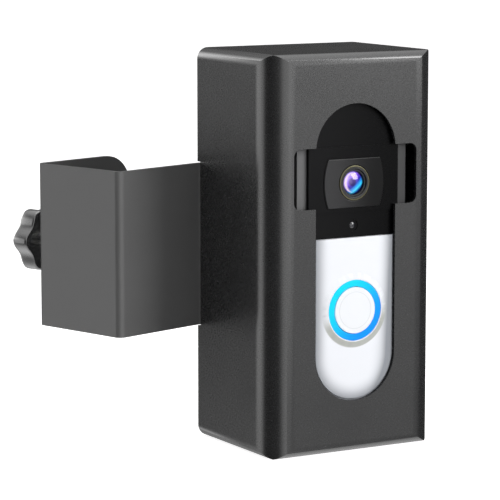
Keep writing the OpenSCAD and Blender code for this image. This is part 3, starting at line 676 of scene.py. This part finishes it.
class Pattern:
    """A geometry tree with named inputs that grows a repeated shape."""

    def __init__(self, name, inputs):
        self.tree = bpy.data.node_groups.new(name, "GeometryNodeTree")
        face = self.tree.interface
        face.new_socket("Geometry", in_out="OUTPUT", socket_type="NodeSocketGeometry")
        for label, value in inputs.items():
            kind = "NodeSocketInt" if isinstance(value, int) else "NodeSocketFloat"
            face.new_socket(label, in_out="INPUT", socket_type=kind).default_value = value
        self.inputs = self.tree.nodes.new("NodeGroupInput").outputs

    def node(self, kind, settings=None, *values, **named):
        """Makes a node: its settings first, then its sockets in order or by name."""
        made = self.tree.nodes.new(kind)
        for key, value in (settings or {}).items():
            setattr(made, key, value)
        for key, value in list(enumerate(values)) + list(named.items()):
            socket = made.inputs[key.replace("_", " ") if isinstance(key, str) else key]
            if isinstance(value, bpy.types.NodeSocket):
                self.tree.links.new(value, socket)
            else:
                socket.default_value = value
        return made.outputs[0]

    def maths(self, operation, first, second):
        return self.node("ShaderNodeMath", {"operation": operation}, first, second)

    def vector(self, x=0.0, y=0.0, z=0.0):
        return self.node("ShaderNodeCombineXYZ", None, x, y, z)

    def join(self, *parts):
        made = self.tree.nodes.new("GeometryNodeJoinGeometry")
        for part in reversed(parts):
            self.tree.links.new(part, made.inputs[0])
        return made.outputs[0]

    def close(self, geometry, slot):
        """Ends the tree: instances made real, finish set."""
        real = self.node("GeometryNodeRealizeInstances", Geometry=geometry)
        done = self.node("GeometryNodeSetMaterial", Geometry=real, Material=FINISHES[slot])
        self.tree.links.new(done, self.tree.nodes.new("NodeGroupOutput").inputs[0])
        return self

    def grow(self, name, place, **sizes):
        """A plain mesh piece grown at a place with these sizes, in metres."""
        piece = new_piece(name, bpy.data.meshes.new(name))
        modifier = piece.modifiers.new("pattern", "NODES")
        modifier.node_group = self.tree
        for item in self.tree.interface.items_tree:
            if item.in_out == "INPUT" and item.name.replace(" ", "_") in sizes:
                modifier[item.identifier] = sizes[item.name.replace(" ", "_")]
        bpy.context.view_layer.update()
        settled(piece)
        piece.data.transform(place)
        for face in piece.data.polygons:
            face.use_smooth = True
        piece.data.set_sharp_from_angle(angle=math.radians(40))
        return piece


def thread_pattern(slot):
    """A cut screw thread: a ridge of diamond section wound around a core."""
    p = Pattern("screw_thread", {
        "Length": 0.03, "Core": 0.0025, "Ridge": 0.0005, "Turns": 30.0, "Sides": 40,
    })
    length, core, ridge = p.inputs["Length"], p.inputs["Core"], p.inputs["Ridge"]
    wound = p.node(
        "GeometryNodeCurveSpiral", Resolution=p.inputs["Sides"], Rotations=p.inputs["Turns"],
        Start_Radius=core, End_Radius=core, Height=length,
    )
    section = p.node("GeometryNodeCurvePrimitiveCircle", Resolution=4, Radius=ridge)
    winding = p.node(
        "GeometryNodeCurveToMesh", Curve=wound, Profile_Curve=section, Fill_Caps=True
    )
    bar = p.node(
        "GeometryNodeMeshCylinder", Vertices=p.inputs["Sides"], Radius=core, Depth=length
    )
    bar = p.node(
        "GeometryNodeTransform", Geometry=bar,
        Translation=p.vector(z=p.maths("MULTIPLY", length, 0.5)),
    )
    return p.close(p.join(winding, bar), slot)


def ribbed_pattern(slot):
    """A rubber pad: a thin back with round ribs across its face."""
    p = Pattern("ribbed_pad", {
        "Width": 0.03, "Height": 0.06, "Thickness": 0.001, "Rib": 0.00045, "Ribs": 24,
    })
    width, height, thick = p.inputs["Width"], p.inputs["Height"], p.inputs["Thickness"]
    rib = p.inputs["Rib"]
    back_t = p.maths("SUBTRACT", thick, rib)
    back = p.node("GeometryNodeMeshCube", Size=p.vector(width, height, back_t))
    back = p.node(
        "GeometryNodeTransform", Geometry=back,
        Translation=p.vector(
            z=p.maths("ADD", p.maths("MULTIPLY", back_t, -0.5), p.maths("MULTIPLY", rib, -1.0))
        ),
    )
    run = p.maths("SUBTRACT", height, p.maths("MULTIPLY", rib, 4.0))
    step = p.maths("DIVIDE", run, p.maths("SUBTRACT", p.inputs["Ribs"], 1.0))
    line = p.node(
        "GeometryNodeMeshLine", Count=p.inputs["Ribs"],
        Start_Location=p.vector(
            y=p.maths("MULTIPLY", run, -0.5), z=p.maths("MULTIPLY", rib, -1.0)
        ),
        Offset=p.vector(y=step),
    )
    bar = p.node(
        "GeometryNodeMeshCylinder", Vertices=16, Radius=rib,
        Depth=p.maths("SUBTRACT", width, p.maths("MULTIPLY", rib, 2.0)),
    )
    bar = p.node("GeometryNodeTransform", Geometry=bar, Rotation=(0, math.pi / 2, 0))
    row = p.node("GeometryNodeInstanceOnPoints", Points=line, Instance=bar)
    return p.close(p.join(back, row), slot)


# ---------------------------------------------------------------- sheet metal

eased("guard_box", 0.35)
eased("door_bracket", 0.3)
eased("bell_carrier", 0.2)
eased("carrier_rivets", 0.35)
eased("security_screws", 0.2)
eased("security_nuts", 0.25)
eased("clamp_nut", 0.35)
eased("clamp_foot", 0.5)

# ---------------------------------------------------------------- pads and clamp screw

ribs = ribbed_pattern("door_rubber")


def ribbed_pad(node, mount, count):
    """A ribbed pad whose ribs end at the face that a mount gives."""
    out = Vector(mounts[mount]["axis"]).normalized()
    across = UP.cross(out).normalized()
    face = Vector(mounts[mount]["pos_m"])
    left, right = reach(node, across, face)
    low, high = reach(node, UP, face)
    back, front = reach(node, out, face)
    centre = face + across * (left + right) / 2 + UP * (low + high) / 2
    piece = ribs.grow(
        node + "_ribbed", frame_at(centre, across, UP, out),
        Width=right - left, Height=high - low, Thickness=front - back, Rib=0.45 * MM, Ribs=count,
    )
    return seat(piece, node)


ribbed_pad("arm_pad", "door_seat", 32)
ribbed_pad("edge_pad", "edge_seat", 32)

screw_axis = -Vector(joints["knob_turn"]["axis"]).normalized()
screw_root = Vector(joints["knob_turn"]["pos_m"])
screw_low, screw_high = reach("clamp_screw", screw_axis, screw_root)
screw_side = UP.cross(screw_axis).normalized()
screw_r = max(reach("clamp_screw", screw_side, screw_root)[1], 1 * MM)
pitch, ridge, foot_end = 1.0 * MM, 0.48 * MM, 2.7 * MM
thread_start = screw_low + foot_end
thread_length = screw_high - thread_start
thread = thread_pattern("screw_steel").grow(
    "clamp_screw_thread",
    frame_at(screw_root + screw_axis * thread_start, screw_side, UP, screw_axis),
    Length=thread_length, Core=screw_r - ridge, Ridge=ridge,
    Turns=thread_length / pitch, Sides=40,
)
seat(thread, "clamp_screw")


def fluted_knob(lobes=6, steps=144):
    """A star knob with smooth hollows, rolled rims and a dished outer face."""
    outer = reach("star_knob", screw_side, screw_root)[1] / MM
    near, far = (d / MM for d in reach("star_knob", screw_axis, screw_root))
    crest, wave, rim = outer - 0.05, 1.15, 1.2
    flat, dish, face = crest - 4.2, 0.7, crest - rim
    quarter = [math.pi / 10 * i for i in range(6)]
    rows = [(0, near), (face - 5.5, near), (face, near)]
    rows += [(face + rim * math.sin(a), near + rim - rim * math.cos(a)) for a in quarter[1:]]
    rows += [(face + rim * math.cos(a), far - rim + rim * math.sin(a)) for a in quarter]
    rows += [(flat, far), (flat - 0.8, far - 0.5), (flat - 2.8, far - dish), (0, far - dish)]
    made = bmesh.new()
    rings = []
    for radius, along in rows:
        ring = []
        for i in range(1 if radius < 1e-6 else steps):
            a = 2 * math.pi * i / steps
            hollow = wave * (1 - math.cos(lobes * a))
            share = max(0.0, min(1.0, (radius - flat) / (crest - flat)))
            side = screw_side * math.cos(a) + UP * math.sin(a)
            point = side * max(radius - hollow * share, 0) + screw_axis * along
            ring.append(made.verts.new(screw_root + point * MM))
        rings.append(ring)
    return seat(skinned("star_knob_fluted", made, rings, steps), "star_knob")


fluted_knob()

pad_out = Vector(mounts["clamp_face"]["axis"]).normalized()
pad_face = Vector(mounts["clamp_face"]["pos_m"])
pad_r = reach("foot_pad", UP, pad_face)[1] / MM
pad_back = -reach("foot_pad", pad_out, pad_face)[0] / MM
groove_step, groove_depth, groove_top, groove_floor, chamfer = 1.6, 0.4, 0.35, 0.1, 0.4
grip = [(0, 0)]
for i in range(1, int(pad_r / groove_step)):
    at = i * groove_step
    grip += [(at - groove_top, 0), (at - groove_floor, -groove_depth)]
    grip += [(at + groove_floor, -groove_depth), (at + groove_top, 0)]
grip += [(pad_r - chamfer, 0), (pad_r, -chamfer), (pad_r, -pad_back), (0, -pad_back)]
seat(lathe("foot_pad_grip", grip, pad_face, pad_out), "foot_pad")

# ---------------------------------------------------------------- doorbell

eased("wall_plate", 0.3)
eased("side_frame", 0.35)
eased("front_cover", 0.3)
eased("rear_cover", 0.45)
eased("camera_window", 0.35)
eased("faceplate", 0.5, 5)
eased("faceplate_screw", 0.2)
eased("button_cap", 0.5, 5)
eased("light_ring", 0.2)
eased("lens_ring", 0.3, 4)
eased("terminal_screws", 0.2)
eased("wall_plate_screws", 0.2)
eased("case_screws", 0.1)
eased("charge_port", 0.1)
eased("setup_button", 0.3)


def glass_dome(node):
    """A smooth lens in place of a CAD lens: the same dome and depth, finely turned."""
    low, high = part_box(node)
    centre = (low + high) / 2
    front = Vector((centre.x, low.y, centre.z))
    radius = (high.x - low.x) / 2 / MM
    depth = (high.y - low.y) / MM
    crown = min(depth * 0.55, radius * 0.32)
    ball = (radius ** 2 + crown ** 2) / (2 * crown)
    rows = 14
    profile = [(0, 0)]
    for i in range(1, rows + 1):
        r = radius * i / rows
        profile.append((r, ball - math.sqrt(ball * ball - r * r)))
    profile += [(radius, depth), (0, depth)]
    return seat(lathe(node + "_dome", profile, front), node)


glass_dome("front_lens")
glass_dome("sensor_lens")

for node, thing in frame["nodes"].items():
    paint(thing, slot_by_node[node])

# ---------------------------------------------------------------- stage and camera

def stage_plane(name, half, z, finish):
    made = bmesh.new()
    corners = ((-half, -half), (half, -half), (half, half), (-half, half))
    made.faces.new([made.verts.new((x, y, z)) for x, y in corners])
    mesh = bpy.data.meshes.new(name)
    made.to_mesh(mesh)
    made.free()
    mesh.materials.append(finish)
    return new_piece(name, mesh)


def pale_floor():
    """A pale floor that keeps the shadow, meets a white background and is not seen in gloss."""
    f = Finish("stage_floor")
    cloud = f.noise(300, 2)
    f.set(Base_Color=f.blend(tone("e8e8e8"), tone("eeeeee"), cloud), Roughness=0.9)
    plain = Value(f, f.surface.outputs[0])
    glow = f.node("ShaderNodeEmission", None, Strength=0.85)
    lit = f.node("ShaderNodeAddShader", None, plain, glow)
    seen = f.node(
        "ShaderNodeMixShader", None,
        f.node("ShaderNodeLightPath", output="Is Camera Ray"), plain, lit,
    )
    gloss = f.node(
        "ShaderNodeMixShader", None,
        f.node("ShaderNodeLightPath", output="Is Glossy Ray"),
        seen, f.node("ShaderNodeBsdfTransparent"),
    )
    f.feed(f.tree.nodes["Material Output"].inputs[0], gloss)
    return f.material


stage_plane("floor", 30.0, cad_box[0][2], pale_floor())


def soft_box(name, place, target, size, power):
    """A square lamp that faces a target."""
    lamp = bpy.data.lights.new(name, "AREA")
    lamp.shape = "RECTANGLE"
    lamp.size = lamp.size_y = size
    lamp.energy = power
    thing = bpy.data.objects.new(name, lamp)
    bpy.context.scene.collection.objects.link(thing)
    thing.location = place
    thing.rotation_mode = "QUATERNION"
    thing.rotation_quaternion = (target - place).to_track_quat("-Z", "Y")


def studio_world():
    """White to the camera. Gloss sees panels with dark gaps between them, as in a light tent."""
    tent = Finish("studio", bpy.data.worlds.new("studio"))
    bpy.context.scene.world = tent.material
    way = tent.node("ShaderNodeTexCoord", output="Generated")

    def glow_from(angle, wide, narrow):
        """A panel this far from the front towards the left: full inside narrow, gone at wide."""
        a = math.radians(angle)
        aimed = tent.node(
            "ShaderNodeVectorMath", {"operation": "DOT_PRODUCT"},
            way, (-math.sin(a), -math.cos(a), 0.0), output="Value",
        )
        return aimed.smooth(math.cos(math.radians(wide)), math.cos(math.radians(narrow)))

    height = tent.node(
        "ShaderNodeVectorMath", {"operation": "DOT_PRODUCT"}, way, (0, 0, 1), output="Value"
    )
    low_dim = height.smooth(-0.3, 0.02) * 0.5 + 0.5
    off_level = abs(height + 0.14)
    right = glow_from(-32, 38, 12) * low_dim * 0.8
    front = glow_from(6, 30, 12) * 1.4
    left = glow_from(121, 27, 15) * 1.45
    above_and_below = abs(height).smooth(0.3, 0.85) * 1.5
    split = off_level.smooth(0.02, 0.11) * 0.3 + off_level.smooth(0.15, 0.4) * 4.0
    left_back = glow_from(155, 36, 15) * split
    gap_glow, diffuse_glow = 0.05, 0.24
    gloss = gap_glow + right + front + left + above_and_below + left_back
    rays = {
        key: tent.node("ShaderNodeLightPath", output=key)
        for key in ("Is Camera Ray", "Is Transmission Ray", "Is Glossy Ray")
    }
    shown = tent.node(
        "ShaderNodeMath", {"operation": "MAXIMUM"},
        rays["Is Camera Ray"], rays["Is Transmission Ray"],
    )
    glossy = rays["Is Glossy Ray"]
    back = tent.tree.nodes["Background"]
    tent.feed(back.inputs["Color"], (1, 1, 1, 1))
    tent.feed(
        back.inputs["Strength"],
        shown + (1 - shown) * (glossy * gloss + (1 - glossy) * diffuse_glow),
    )


studio_world()
middle = (Vector(cad_box[0]) + Vector(cad_box[1])) / 2


def around(angle, far, rise):
    """A point at an angle from the doorbell's front towards its left, round the object."""
    a = math.radians(angle)
    return middle + Vector((-math.sin(a) * far, -math.cos(a) * far, rise))


soft_box("key", around(-40, 1.3, 0.6), middle, 0.8, 16)
soft_box("top", middle + Vector((0.0, -0.1, 1.2)), middle, 1.0, 5.5)
soft_box("left", around(40, 1.4, 0.6), middle, 0.7, 2.6)


def camera_at_view():
    """The camera stands 30 degrees to the left of the doorbell's face and a little above it."""
    yaw, pitch, far = math.radians(30), math.radians(8.17), 1.066
    # where the box's front left edge is seen, from the middle of the view
    off_axis_right, off_axis_up = 8.3 * MM, -4.8 * MM
    low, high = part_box("guard_box")
    aim = Vector((low.x, low.y, (low.z + high.z) / 2))
    right = Vector((math.cos(yaw), -math.sin(yaw), 0))
    level = Vector((math.sin(yaw), math.cos(yaw), 0))
    ahead = level * math.cos(pitch) - UP * math.sin(pitch)
    above = level * math.sin(pitch) + UP * math.cos(pitch)
    lens = bpy.data.cameras.new("camera")
    lens.sensor_width, lens.lens = 36, 185.76
    lens.clip_start = 0.05
    lens.clip_end = 100
    thing = bpy.data.objects.new("camera", lens)
    bpy.context.scene.collection.objects.link(thing)
    stand = aim - right * off_axis_right - above * off_axis_up - ahead * far
    thing.matrix_world = frame_at(stand, right, above, -ahead)
    bpy.context.scene.camera = thing


camera_at_view()
bpy.context.scene.view_settings.view_transform = "Standard"
